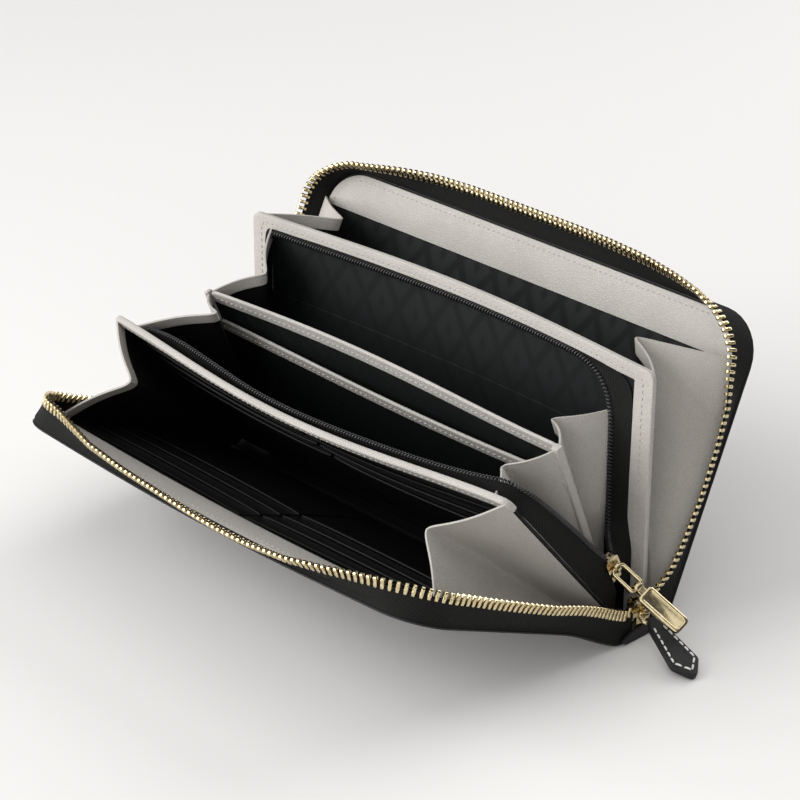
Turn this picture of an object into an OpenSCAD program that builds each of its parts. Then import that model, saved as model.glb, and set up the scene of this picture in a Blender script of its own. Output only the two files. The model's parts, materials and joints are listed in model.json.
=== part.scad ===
// Zip-around wallet, standing open on its spine.
// X runs along the spine, Y from the front cover to the back cover, Z up.
// The origin is the middle of the spine's underside. Each cover and divider is a leaf
// that is drawn upright in its own frame (X along the spine, Y through its thickness,
// Z up from its fold) and then leaned over about its fold.

/* [Wallet] */
// Length of the covers along the spine
wallet_l = 195; // [175:1:215]
// Height of a cover, from its fold to its top edge
cover_h = 102; // [95:1:112]
// Distance between the folds of the two covers
fold_gap = 24; // [22:0.5:30]
// Height of the cover folds over the surface that the spine stands on
fold_z = 1.6; // [1.6:0.1:2.2]
// Radius of the covers' outer corners
corner_r = 16; // [10:1:22]

/* [Opening] */
// Lean of the front cover to the front, as the wallet stands open
front_open = 65.3; // [60:0.1:68]
// Lean of the back cover to the back, as the wallet stands open
back_open = 24.3; // [20:0.1:27]
// Share of the whole opening that each of the two outer compartments takes
outer_share = 0.279; // [0.26:0.001:0.3]

/* [Covers] */
// Thickness of the outer leather
leather_t = 1.2; // [0.9:0.1:1.5]
// Thickness of the stiffening board under the leather
board_t = 0.8; // [0.5:0.1:1.2]
// Thickness of the lining cloth
lining_t = 0.4; // [0.3:0.1:0.6]
// Height of the leather facing along a cover's top edge
facing_h = 16; // [10:1:22]
// Thickness of the leather facing
facing_t = 0.6; // [0.4:0.1:1]
// Gap between a leaf's lower edge and its fold
fold_clear = 0.3; // [0.3:0.1:0.6]

/* [Dividers] */
// Height of the two outer dividers over their folds
divider_h = 88.9; // [82:0.1:92]
// Distance from the covers' side edges in to the two outer dividers
divider_inset = 3.5; // [3:0.1:6]
// Height of the middle divider's back panel over its fold
middle_h = 76; // [68:0.5:80]
// How much lower the middle divider's front panel stands
middle_step = 9.5; // [6:0.5:14]
// Distance from the outer dividers' side edges in to the middle divider
middle_inset = 11; // [8:0.5:14]
// Distance between the folds of neighbouring dividers
divider_gap = 4.2; // [4:0.1:4.6]
// Height of the divider folds over the surface that the spine stands on
divider_z = 2.4; // [2.3:0.1:3]
// Thickness of a divider panel
panel_t = 1; // [0.8:0.1:1.2]
// Thickness of a panel of the middle divider's slip pocket
slip_t = 0.5; // [0.4:0.1:0.6]
// Room between the two panels of the slip pocket
slip_gap = 0.5; // [0.4:0.1:0.8]
// Height of the leather binding on a divider's top edge
binding_h = 4.6; // [3:0.1:7]
// Thickness of the leather binding on each face
binding_t = 0.4; // [0.3:0.05:0.5]
// Width of the back divider's leather frame along its sides
frame_w = 8; // [6:0.5:12]
// Height of the patterned pocket on the back divider's face
pocket_h = 52; // [40:1:64]

/* [Card slots] */
// Step from one card slot's edge down to the next
slot_step = 9; // [6:0.5:11]
// Thickness of one card slot's cloth
slot_t = 0.35; // [0.25:0.05:0.4]
// Distance from the outer dividers' side edges in to a row of card slots
slot_inset = 10; // [8:0.5:14]
// Width of the seam between the two columns of card slots
slot_seam = 1.6; // [1:0.1:3]
// Distance from the fold to the card slots' lower edge
slot_foot = 9; // [6:0.5:14]

/* [Outer zip] */
// Width of each outer tape, from the cover to its teeth
tape_w = 7.6; // [7:0.1:8.4]
// Thickness of a zip tape
tape_t = 0.5; // [0.4:0.05:0.7]
// Distance from a cover's edge in to its tape
tape_inset = 1.6; // [1.5:0.1:2.5]
// Distance from one tooth of a row to the next
tooth_pitch = 2.35; // [2.2:0.05:3]
// Width of a tooth along its row
tooth_w = 1.1; // [0.8:0.05:1.3]
// Clearance between a tooth's tip and the middle of the closed wallet
tooth_clear = 0.3; // [0.25:0.05:0.6]
// Height of a tooth across the tape
tooth_t = 1.8; // [1.4:0.1:2.2]
// Lean of the front cover's tape along its long edge
front_splay = 66; // [0:1:70]
// Lean of the back cover's tape along its long edge
back_splay = 56; // [0:1:64]
// Length over which a tape leans over, from a corner to its full lean
splay_run = 34; // [20:1:50]
// Distance over the fold at which the outer tapes end
tape_foot = 1; // [0.5:0.5:5]

/* [Inner zip] */
// How far the inner tapes stand off the dividers' faces
inner_tape_w = 2.6; // [2.2:0.1:2.7]
// Distance from a divider's top edge down to its inner tape
inner_tape_drop = 3; // [2:0.5:6]
// Distance from a divider's side edge in to its inner tape
inner_tape_inset = 2; // [1.5:0.5:5]
// Radius of the coil on each inner tape
coil_r = 0.6; // [0.4:0.05:0.8]
// Distance of the inner slider from the middle divider's fold
inner_stop_r = 26; // [24:1:34]
// Distance from the dividers' side edges in to the middle of the inner slider
inner_stop_inset = 3.4; // [3:0.2:4]

/* [Gussets] */
// Thickness of the gusset leather
gusset_t = 0.8; // [0.6:0.1:1]
// Depth to which the two outer pairs of gussets fold in
outer_gusset_depth = 26; // [20:1:30]
// Depth to which the two inner pairs of gussets fold in
inner_gusset_depth = 18; // [12:1:22]
// Distance from the outer dividers' top edge down to the outer gussets' top
outer_gusset_drop = 0.9; // [0.5:0.1:3]
// Distance from the middle divider's top edge down to the inner gussets' top
inner_gusset_drop = 1; // [0.5:0.1:3]
// Distance from the folds to a gusset's narrow lower end
gusset_foot = 9; // [8:0.5:14]
// Distance from the dividers' side edges in to the two inner pairs of gussets
gusset_inset = 7; // [6:0.5:9]
// Clearance between a gusset and the leaves beside it
gusset_clear = 0.3; // [0.2:0.05:0.5]

/* [Outer slider and tab] */
// Distance of the outer slider from the middle of the spine, to the front
slider_off = 1.8; // [1:0.2:3]
// Height of the middle of the outer slider over the surface that the wallet stands on
slider_z = 10.5; // [8:0.5:12]
// Length of the outer slider along the zip
slider_l = 8.5; // [8:0.5:12]
// Width of the outer slider
slider_w = 7.6; // [7:0.2:7.8]
// Thickness of the outer slider
slider_t = 3.6; // [3.2:0.2:4.4]
// Radius of the wire in the rings and bails
wire_r = 0.7; // [0.5:0.05:0.8]
// Length of the tab's ring
ring_l = 4; // [3:0.2:5]
// Length of the leather tab, from its ring to its tip
tab_l = 25.5; // [22:0.5:34]
// Width of the leather tab at its shoulders
tab_w = 10.6; // [8:0.2:12]
// Length of the tab's pointed end
tab_point_l = 6; // [4:0.5:8]
// Thickness of each of the tab's two leather layers
tab_layer_t = 1.2; // [0.9:0.1:1.4]
// Turn of the outer slider and its tab to the front, seen from above
tab_yaw = 14; // [0:0.5:25]
// Gap between the tab's tip and the surface that the wallet stands on
tab_floor_gap = 0.2; // [0.1:0.05:0.6]

/* [Inner slider and plate] */
// Length of the inner slider along its zip
inner_slider_l = 7.6; // [7:0.2:9]
// Width of the inner slider
inner_slider_w = 5.6; // [5:0.2:5.8]
// Thickness of the inner slider
inner_slider_t = 3; // [2.8:0.2:3.6]
// Length of the wire bail
bail_l = 9; // [8:0.5:12]
// Width inside the wire bail
bail_w = 3.4; // [2.8:0.1:3.6]
// Length of the metal plate
plate_l = 19.5; // [15:0.5:24]
// Width of the metal plate
plate_w = 7.4; // [6.6:0.2:9]
// Thickness of the metal plate
plate_t = 2; // [1.4:0.1:2.2]
// Lean of the inner slider, about the spine's direction
pull_lean = 24; // [18:1:30]
// How steeply the bail hangs
bail_drop = 38; // [30:1:60]
// How steeply the plate hangs
plate_drop = 35; // [25:1:45]

/* [Hidden] */
$fn = 48;
black_leather = [0.07, 0.07, 0.075];
black_cloth = [0.04, 0.045, 0.05];
grey_leather = [0.74, 0.72, 0.69];
board_grey = [0.4, 0.4, 0.4];
gold = [0.83, 0.69, 0.42];
// Overlap that joins two shapes of one piece, and the gap that keeps two pieces apart
join = 0.01;
seat = 0.05;

// Leans of the dividers: positive is to the front.
full_open = front_open + back_open;
divider_1_open = front_open - outer_share * full_open;
divider_3_open = outer_share * full_open - back_open;
divider_2_open = (divider_1_open + divider_3_open) / 2;

// A leaf is [lean, Y of its fold, Z of its fold, Y direction of its inner face].
front_leaf = [front_open, -fold_gap / 2, fold_z, 1];
back_leaf = [-back_open, fold_gap / 2, fold_z, -1];
leaf_1 = [divider_1_open, -divider_gap, divider_z, 1];
leaf_2 = [divider_2_open, 0, divider_z, 1];
leaf_3 = [divider_3_open, divider_gap, divider_z, -1];

divider_half = wallet_l / 2 - divider_inset;
middle_half = divider_half - middle_inset;
slot_half = divider_half - slot_inset;
outer_gusset_h = divider_h - outer_gusset_drop;
inner_gusset_h = middle_h - inner_gusset_drop;

// Layers of a cover: leather outside of 0, then the board, then the lining.
inner_y = board_t + lining_t;
lining_inset = tape_inset + tape_t + 0.3;
slots_top = cover_h - facing_h - 3;
divider_slots_top = divider_h - binding_h - 6;
spine_half_w = fold_gap / 2 + 0.2;
spine_lining_half_w = fold_gap / 2 - 3.4;
panel_face = panel_t / 2;
bound_face = panel_face + binding_t;
slip_face = slip_gap / 2 + slip_t;
divider_corner_r = 3;

function unit(v) = v / norm(v);
function mix(a, b, t) = a + (b - a) * t;

// World place of a point in a leaf's own frame, with y counted towards its inner face.
function leaf_dir(leaf, v) = [
    v[0],
    leaf[3] * v[1] * cos(leaf[0]) - v[2] * sin(leaf[0]),
    leaf[3] * v[1] * sin(leaf[0]) + v[2] * cos(leaf[0])
];
function leaf_pt(leaf, v) = [0, leaf[1], leaf[2]] + leaf_dir(leaf, v);

module on_leaf(leaf) {
    translate([0, leaf[1], leaf[2]]) rotate([leaf[0], 0, 0])
        mirror([0, leaf[3] < 0 ? 1 : 0, 0]) children();
}

// A flat sheet in a leaf's frame, from y0 to y1, with its outline given in X and Z.
module leaf_sheet(y0, y1) {
    translate([0, y1, 0]) rotate([90, 0, 0]) linear_extrude(height = y1 - y0) children();
}

// Outline of a leaf with rounded upper corners, drawn in by an inset, from a foot upwards.
module leaf_outline(half, h, r, inset, foot) {
    top = h - inset;
    side = half - inset;
    round_r = max(r - inset, 0.5);
    translate([-side, foot]) square([2 * side, max(top - round_r - foot, 0.1)]);
    translate([-side + round_r, foot]) square([2 * (side - round_r), top - foot]);
    for (s = [-1, 1]) translate([s * (side - round_r), top - round_r]) circle(r = round_r);
}

module cover_outline(inset, foot = fold_clear) {
    leaf_outline(wallet_l / 2, cover_h, corner_r, inset, foot);
}

// ---- Spine ----

// Outer leather under the spine, with rounded long edges.
module spine_leather() {
    edge_r = leather_t / 2;
    color(black_leather) translate([-wallet_l / 2, 0, 0]) rotate([90, 0, 90])
        linear_extrude(height = wallet_l) {
            translate([-spine_half_w + edge_r, 0]) square([2 * (spine_half_w - edge_r), leather_t]);
            for (s = [-1, 1]) translate([s * (spine_half_w - edge_r), edge_r]) circle(r = edge_r);
        }
}

module spine_lining() {
    color(black_cloth) translate([-wallet_l / 2 + leather_t, -spine_lining_half_w, leather_t])
        cube([wallet_l - 2 * leather_t, 2 * spine_lining_half_w, lining_t]);
}

// ---- Covers ----

// Outer leather of a cover, with its edge turned in over the board.
module cover_leather() {
    leaf_sheet(-leather_t, 0) cover_outline(0);
    leaf_sheet(-join, inner_y) difference() {
        cover_outline(0);
        cover_outline(leather_t, -1);
    }
}

module cover_board() {
    leaf_sheet(0, board_t) cover_outline(leather_t);
}

module cover_lining() {
    leaf_sheet(board_t, inner_y) cover_outline(lining_inset);
}

// Leather band along the top of a cover's inner face.
module cover_facing() {
    leaf_sheet(inner_y, inner_y + facing_t) intersection() {
        cover_outline(lining_inset);
        translate([-wallet_l, cover_h - facing_h]) square([2 * wallet_l, facing_h]);
    }
}

// Card slot k of a stack, in two columns: each lies on the one above it, a step lower.
module card_slot(k, top, face) {
    h = top - (k - 1) * slot_step - slot_foot;
    w = slot_half - slot_seam / 2;
    for (x = [-slot_half, slot_seam / 2]) translate([x, face + (k - 1) * slot_t, slot_foot])
        cube([w, slot_t, h]);
}

module front_leather() { color(black_leather) on_leaf(front_leaf) cover_leather(); }
module front_board() { color(board_grey) on_leaf(front_leaf) cover_board(); }
module front_lining() { color(black_cloth) on_leaf(front_leaf) cover_lining(); }
module front_facing() { color(grey_leather) on_leaf(front_leaf) cover_facing(); }
module front_card_slot(k) {
    color(black_cloth) on_leaf(front_leaf) card_slot(k, slots_top, inner_y);
}
module back_leather() { color(black_leather) on_leaf(back_leaf) cover_leather(); }
module back_board() { color(board_grey) on_leaf(back_leaf) cover_board(); }
module back_lining() { color(black_cloth) on_leaf(back_leaf) cover_lining(); }
module back_facing() { color(grey_leather) on_leaf(back_leaf) cover_facing(); }

// ---- Outer zip ----

// The tape's root runs s mm along a cover's rim, from the lower left end up, round both
// corners and down to the lower right end.
rim_half = wallet_l / 2 - tape_inset;
rim_top = cover_h - tape_inset;
rim_r = corner_r - tape_inset;
rim_side = rim_top - rim_r - tape_foot;
rim_arc = PI / 2 * rim_r;
rim_long = 2 * (rim_half - rim_r);
rim_l = 2 * rim_side + 2 * rim_arc + rim_long;
// Angle through which the rim has turned at s: 0 up the left side, 180 down the right side
function rim_turn(s) =
    s < rim_side + rim_arc ? 90 * max(s - rim_side, 0) / rim_arc :
    180 - 90 * min(max(rim_l - rim_side - s, 0), rim_arc) / rim_arc;
function rim_out(s) = [-cos(rim_turn(s)), 0, sin(rim_turn(s))];
// Place along the straight stretches, on a line that lies rim_r inside the rim
function rim_core(s) = [
    -rim_half + rim_r + min(max(s - rim_side - rim_arc, 0), rim_long),
    inner_y + seat,
    tape_foot + min(s, rim_side, rim_l - s)
];
function rim_pt(s) = rim_core(s) + rim_r * rim_out(s);
// The tape stands square to the cover, and leans outwards along the long edge.
function tape_lean(s, splay) =
    let(from_corner = min(s - rim_side - rim_arc, rim_l - rim_side - rim_arc - s))
    splay * sin(90 * min(max(from_corner / splay_run, 0), 1));
function tape_dir(s, splay) =
    cos(tape_lean(s, splay)) * [0, 1, 0] + sin(tape_lean(s, splay)) * rim_out(s);

// Evenly spaced values from a to b, without the last one
function steps(a, b, n) = [for (i = [0 : n - 1]) mix(a, b, i / n)];
rim_stations = concat(
    steps(rim_l, rim_l - rim_side, 2),
    steps(rim_l - rim_side, rim_l - rim_side - rim_arc, 6),
    steps(rim_side + rim_arc + rim_long, rim_side + rim_arc, 20),
    steps(rim_side + rim_arc, rim_side, 6),
    [rim_side, rim_side / 2, 0]);

// A thin sheet between two edge lines with as many points each.
function edge_tangent(a, i) = a[min(i + 1, len(a) - 1)] - a[max(i - 1, 0)];
function edge_normal(a, b, i) = unit(cross(edge_tangent(a, i), b[i] - a[i]));
module ribbon(a, b, t) {
    n = len(a);
    points = concat(a, b,
        [for (i = [0 : n - 1]) b[i] + t * edge_normal(a, b, i)],
        [for (i = [0 : n - 1]) a[i] + t * edge_normal(a, b, i)]);
    // Both faces are split along the same diagonals, so that the sheet keeps its thickness.
    sides = [for (k = [0 : 3]) for (i = [0 : n - 2])
        let(k2 = (k + 1) % 4, f = [k * n + i, k2 * n + i, k2 * n + i + 1, k * n + i + 1])
        k == 2 ? [f[3], f[0], f[1], f[2]] : f];
    polyhedron(points, concat(
        [for (f = sides) [f[0], f[2], f[1]]],
        [for (f = sides) [f[0], f[3], f[2]]],
        [[0, n, 2 * n], [0, 2 * n, 3 * n]],
        [[n - 1, 3 * n - 1, 2 * n - 1], [n - 1, 4 * n - 1, 3 * n - 1]]));
}

// A round bead along a line of points; ref is a direction that is never along the line.
bead_sides = 8;
module bead(line, r, ref) {
    n = len(line);
    points = [for (i = [0 : n - 1])
        let(t = unit(edge_tangent(line, i)), u = unit(cross(t, ref)), v = cross(t, u))
        for (j = [0 : bead_sides - 1])
            line[i] + r * (cos(360 * j / bead_sides) * u + sin(360 * j / bead_sides) * v)];
    walls = [for (i = [0 : n - 2]) for (j = [0 : bead_sides - 1])
        let(a = i * bead_sides + j, b = i * bead_sides + (j + 1) % bead_sides)
        [a, b, b + bead_sides, a + bead_sides]];
    polyhedron(points, concat(
        [for (w = walls) [w[0], w[2], w[1]]],
        [for (w = walls) [w[0], w[3], w[2]]],
        [[for (j = [0 : bead_sides - 1]) j]],
        [[for (j = [bead_sides - 1 : -1 : 0]) (n - 1) * bead_sides + j]]));
}

module cover_tape(splay) {
    ribbon([for (s = rim_stations) rim_pt(s)],
        [for (s = rim_stations) rim_pt(s) + tape_w * tape_dir(s, splay)], tape_t);
}

// One row of teeth on the tape's free edge. They meet the other row's when the wallet shuts.
tooth_root = tape_w + seat;
tooth_l = fold_gap / 2 - tooth_clear - inner_y - seat - tooth_root;
module cover_teeth(splay) {
    count = floor((rim_l - tooth_w) / tooth_pitch);
    start = (rim_l - (count - 1) * tooth_pitch) / 2;
    for (k = [0 : count - 1]) {
        s = start + k * tooth_pitch;
        turn = rim_turn(s);
        lean = tape_lean(s, splay);
        translate(rim_pt(s)) rotate([0, turn, 0]) rotate([0, 0, lean])
            translate([tape_t / 2 - tooth_t / 2, tooth_root, -tooth_w / 2])
                cube([tooth_t, tooth_l, tooth_w]);
    }
}

module front_zip_tape() { color(black_cloth) on_leaf(front_leaf) cover_tape(front_splay); }
module front_zip_teeth() { color(gold) on_leaf(front_leaf) cover_teeth(front_splay); }
module back_zip_tape() { color(black_cloth) on_leaf(back_leaf) cover_tape(back_splay); }
module back_zip_teeth() { color(gold) on_leaf(back_leaf) cover_teeth(back_splay); }

// ---- Dividers ----

module panel(y0, y1, half, h) {
    leaf_sheet(y0, y1) leaf_outline(half, h, divider_corner_r, 0, fold_clear);
}

// A binding folded over the top edge of a panel that lies from y0 to y1.
module binding(y0, y1, half, h) {
    difference() {
        leaf_sheet(y0 - binding_t, y1 + binding_t)
            leaf_outline(half + binding_t, h + binding_t, divider_corner_r, 0, h - binding_h);
        leaf_sheet(y0, y1) leaf_outline(half, h, divider_corner_r, 0, h - binding_h - 1);
    }
}

module divider_1_panel() {
    color(black_cloth) on_leaf(leaf_1) panel(-panel_face, panel_face, divider_half, divider_h);
}
module divider_1_binding() {
    color(grey_leather) on_leaf(leaf_1) binding(-panel_face, panel_face, divider_half, divider_h);
}
module divider_1_card_slot(k) {
    color(black_cloth) on_leaf(leaf_1) mirror([0, 1, 0]) card_slot(k, divider_slots_top, panel_face);
}

// The middle divider is a slip pocket: its front panel stands lower than its back panel.
module divider_2_back_panel() {
    color(black_cloth) on_leaf(leaf_2) panel(slip_gap / 2, slip_face, middle_half, middle_h);
}
module divider_2_back_binding() {
    color(grey_leather) on_leaf(leaf_2) binding(slip_gap / 2, slip_face, middle_half, middle_h);
}
module divider_2_front_panel() {
    color(black_cloth) on_leaf(leaf_2)
        panel(-slip_face, -slip_gap / 2, middle_half, middle_h - middle_step);
}
module divider_2_front_binding() {
    color(grey_leather) on_leaf(leaf_2)
        translate([-middle_half, -slip_face - binding_t, middle_h - middle_step - binding_h])
            cube([2 * middle_half, binding_t, binding_h]);
}

module divider_3_panel() {
    color(black_cloth) on_leaf(leaf_3) panel(-panel_face, panel_face, divider_half, divider_h);
}
// Leather frame along the top and both sides of the back divider's front face.
module divider_3_frame() {
    color(grey_leather) on_leaf(leaf_3) leaf_sheet(panel_face, bound_face) difference() {
        leaf_outline(divider_half, divider_h, divider_corner_r, 0, fold_clear);
        translate([-divider_half + frame_w, -1])
            square([2 * (divider_half - frame_w), divider_h - binding_h + 1]);
    }
}
module divider_3_pocket() {
    half = divider_half - frame_w - seat;
    color(black_cloth) on_leaf(leaf_3) translate([-half, panel_face, slot_foot])
        cube([2 * half, slot_t, pocket_h]);
}

// ---- Inner zip ----

// Middle of the inner slider, and the direction along its part of the zip
inner_slider_at = leaf_pt(leaf_2, [divider_half - inner_stop_inset, 0, inner_stop_r]);
pull_up = [0, -sin(pull_lean), cos(pull_lean)];

// The tape's root on a divider's inner face: along the top, round the corner and down the
// right side to the slider.
inner_top = divider_h - inner_tape_drop;
inner_side = divider_half - inner_tape_inset;
inner_turn_r = 7;
top_steps = 12;
turn_steps = 5;
side_steps = 9;
inner_root = concat(
    [for (x = steps(-inner_side, inner_side - inner_turn_r, top_steps)) [x, inner_top]],
    [for (a = steps(90, 0, turn_steps))
        [inner_side - inner_turn_r, inner_top - inner_turn_r] + inner_turn_r * [cos(a), sin(a)]],
    [for (z = steps(inner_top - inner_turn_r, inner_stop_r, side_steps)) [inner_side, z]]);
function inner_fixed(leaf) =
    [for (p = inner_root) leaf_pt(leaf, [p[0], bound_face + seat, p[1]])];
// The free edge stands off the face, and swings in to the slider down the side. The two
// coils stay apart at the slider, one on each side of it.
function inner_swing(i) = pow(max(0, i - top_steps - turn_steps + 1) / side_steps, 1.4);
function inner_free(leaf) =
    let(at = inner_slider_at + inner_slider_l / 2 * pull_up
            - [0, leaf[3] * 2 * (coil_r + seat), -coil_r])
    [for (i = [0 : len(inner_root) - 1])
        mix(leaf_pt(leaf, [inner_root[i][0], bound_face + inner_tape_w - coil_r, inner_root[i][1]]),
            at, inner_swing(i))];

module inner_tape(leaf) { ribbon(inner_fixed(leaf), inner_free(leaf), tape_t / 2); }
module inner_coil(leaf) {
    off = leaf_dir(leaf, [0, coil_r + seat, 0]);
    bead([for (p = inner_free(leaf)) p + off], coil_r, leaf_dir(leaf, [0, 1, 0.2]));
}
module divider_1_zip_tape() { color(black_cloth) inner_tape(leaf_1); }
module divider_1_zip_coil() { color(black_cloth) inner_coil(leaf_1); }
module divider_3_zip_tape() { color(black_cloth) inner_tape(leaf_3); }
module divider_3_zip_coil() { color(black_cloth) inner_coil(leaf_3); }

// ---- Gussets ----

// A gusset is one sheet that folds in between leaves a and b. Each leaf is given with the
// distance off its fold plane and the half length at which the gusset joins it.
function gusset_ring(a, b, h, depth, r, side, out) =
    let(fold = [(a[0][0] + b[0][0]) / 2, (a[0][1] + b[0][1]) / 2, (a[0][2] + b[0][2]) / 2, 1],
        fold_x = (a[2] + b[2]) / 2 - depth * r / h)
    [
        leaf_pt(a[0], [side * (a[2] - gusset_t + out), a[1] + gusset_clear, r]),
        leaf_pt(fold, [side * (fold_x + out), 0, r]),
        leaf_pt(b[0], [side * (b[2] - gusset_t + out), b[1] + gusset_clear, r])
    ];
module gusset(a, b, h, depth, side) {
    points = concat(
        gusset_ring(a, b, h, depth, gusset_foot, side, 0),
        gusset_ring(a, b, h, depth, gusset_foot, side, gusset_t),
        gusset_ring(a, b, h, depth, h, side, 0),
        gusset_ring(a, b, h, depth, h, side, gusset_t));
    faces = [
        [0, 1, 7, 6], [1, 2, 8, 7], [3, 9, 10, 4], [4, 10, 11, 5],
        [3, 0, 6, 9], [2, 5, 11, 8], [1, 0, 3, 4], [2, 1, 4, 5], [6, 7, 10, 9], [7, 8, 11, 10]
    ];
    three = concat([for (f = faces) [f[0], f[1], f[2]]], [for (f = faces) [f[0], f[2], f[3]]]);
    color(grey_leather) polyhedron(points, side > 0 ? three : [for (f = three) [f[2], f[1], f[0]]]);
}
front_join = [front_leaf, inner_y + facing_t, rim_half - 3];
back_join = [back_leaf, inner_y + facing_t, rim_half - 3];
outer_join_1 = [[leaf_1[0], leaf_1[1], leaf_1[2], -1], bound_face, divider_half];
outer_join_3 = [[leaf_3[0], leaf_3[1], leaf_3[2], 1], panel_face, divider_half];
inner_join_1 = [leaf_1, bound_face, divider_half - gusset_inset];
inner_join_3 = [leaf_3, bound_face, divider_half - gusset_inset];
middle_join_front = [[leaf_2[0], leaf_2[1], leaf_2[2], -1], slip_face + binding_t, middle_half];
middle_join_back = [leaf_2, slip_face + binding_t, middle_half];
module gusset_1(side) { gusset(front_join, outer_join_1, outer_gusset_h, outer_gusset_depth, side); }
module gusset_2(side) { gusset(inner_join_1, middle_join_front, inner_gusset_h, inner_gusset_depth, side); }
module gusset_3(side) { gusset(middle_join_back, inner_join_3, inner_gusset_h, inner_gusset_depth, side); }
module gusset_4(side) { gusset(outer_join_3, back_join, outer_gusset_h, outer_gusset_depth, side); }

// ---- Sliders, tab and plate ----

// A zip slider: two wings joined by a wedge, and a bridge with a hole across it for a wire.
// Z is along the zip, Y across it and X out of the wallet's end.
bridge_hole_r = wire_r + 0.15;
bridge_wall = 0.7;
function bridge_x(t) = t / 2 + bridge_hole_r + 0.1;
module slider_body(l, w, t) {
    wing_t = 0.28 * t;
    nose_r = l / 6;
    for (x = [-t / 2, t / 2 - wing_t]) translate([x, 0, 0]) rotate([90, 0, 90])
        linear_extrude(height = wing_t) {
            translate([-w / 2, -nose_r]) square([w, l / 2]);
            translate([-w / 2 + nose_r, -l / 2]) square([w - 2 * nose_r, l]);
            for (s = [-1, 1]) translate([s * (w / 2 - nose_r), l / 2 - nose_r]) circle(r = nose_r);
        }
    translate([-t / 2 + join, -w / 10, l / 6]) cube([t - 2 * join, w / 5, l / 3 - join]);
    difference() {
        translate([0, w / 8, 0]) rotate([90, 0, 0]) linear_extrude(height = w / 4) {
            translate([t / 2 - join, -l * 0.28]) square([bridge_hole_r + 0.1, l * 0.56]);
            translate([bridge_x(t), 0]) circle(r = bridge_hole_r + bridge_wall);
        }
        translate([bridge_x(t), w, 0]) rotate([90, 0, 0]) cylinder(r = bridge_hole_r, h = 2 * w);
    }
}

outer_slider_at = [wallet_l / 2 - slider_t / 2 + 1.6, -slider_off, slider_z];
module on_outer_slider() { translate(outer_slider_at) rotate([0, 0, -tab_yaw]) children(); }
module outer_slider() { color(gold) on_outer_slider() slider_body(slider_l, slider_w, slider_t); }
module inner_slider() {
    color(gold) translate(inner_slider_at) rotate([pull_lean, 0, 0])
        slider_body(inner_slider_l, inner_slider_w, inner_slider_t);
}

// The stops are crimped below the sliders, where the two tapes of a zip meet.
module outer_zip_stop() {
    stop_h = slider_z - slider_l / 2 - leather_t - lining_t - 2 * seat;
    stop_t = 1.6;
    stop_w = 3;
    color(gold) translate([outer_slider_at[0] - stop_t, -slider_off - stop_w / 2, leather_t + lining_t + seat])
        cube([stop_t, stop_w, stop_h]);
}
module inner_zip_stop() {
    stop_h = 2;
    color(gold) translate(inner_slider_at) rotate([pull_lean, 0, 0])
        translate([-1, -2, -inner_slider_l / 2 - stop_h - seat]) cube([2, 4, stop_h]);
}

// A closed loop of round wire with bent corners. Its first leg lies on the Y axis, and it
// reaches l along X. Its inner width is w.
bend_r = 1.2;
module wire_loop(l, w) {
    half = w / 2 + wire_r;
    for (x = [0, l]) translate([x, half - bend_r, 0])
        rotate([90, 0, 0]) cylinder(r = wire_r, h = 2 * (half - bend_r));
    for (y = [-half, half]) translate([bend_r, y, 0])
        rotate([0, 90, 0]) cylinder(r = wire_r, h = l - 2 * bend_r);
    for (k = [0 : 3]) translate([k == 0 || k == 3 ? l - bend_r : bend_r, (k < 2 ? 1 : -1) * (half - bend_r), 0])
        rotate([0, 0, 90 * k]) rotate_extrude(angle = 90) translate([bend_r, 0]) circle(r = wire_r);
}

// The outer slider's ring and two-layer leather tab, which slopes down to the surface.
tab_reach = ring_l + tab_l;
tab_drop = asin((slider_z - tab_floor_gap - tab_layer_t) / tab_reach);
module on_tab() {
    on_outer_slider() translate([bridge_x(slider_t), 0, 0]) rotate([0, tab_drop, 0]) children();
}
ring_w = slider_w / 4 + 2;
module tab_ring() { color(gold) on_tab() wire_loop(ring_l, ring_w); }

// One layer of the tab: a neck round the ring's leg, then sides that widen to the
// shoulders, and a point.
module tab_layer() {
    neck = ring_w / 2 - 0.4;
    widen = ring_l + wire_r + 0.3;
    shoulder = tab_reach - tab_point_l;
    tip = 0.8;
    half = [
        [ring_l - 1.2, neck], [widen, neck], [widen + 1.5, 0.27 * tab_w],
        [shoulder, tab_w / 2], [tab_reach, tip]
    ];
    difference() {
        linear_extrude(height = tab_layer_t)
            polygon(concat(half, [for (i = [len(half) - 1 : -1 : 0]) [half[i][0], -half[i][1]]]));
        translate([ring_l, tab_w, 0]) rotate([90, 0, 0]) cylinder(r = wire_r + seat, h = 2 * tab_w);
    }
}
module tab_front_leather() { color(black_leather) on_tab() tab_layer(); }
module tab_back_leather() { color(black_leather) on_tab() mirror([0, 0, 1]) tab_layer(); }

// The inner slider's wire bail and metal plate, which lies over the wallet's end.
bail_hinge = inner_slider_at + [bridge_x(inner_slider_t), 0, 0];
plate_hinge = bail_hinge + bail_l * (cos(bail_drop) * [1, 0, 0] - sin(bail_drop) * pull_up);
module inner_bail() {
    color(gold) translate(bail_hinge) rotate([pull_lean, 0, 0]) rotate([0, bail_drop, 0])
        wire_loop(bail_l, bail_w);
}
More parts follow.
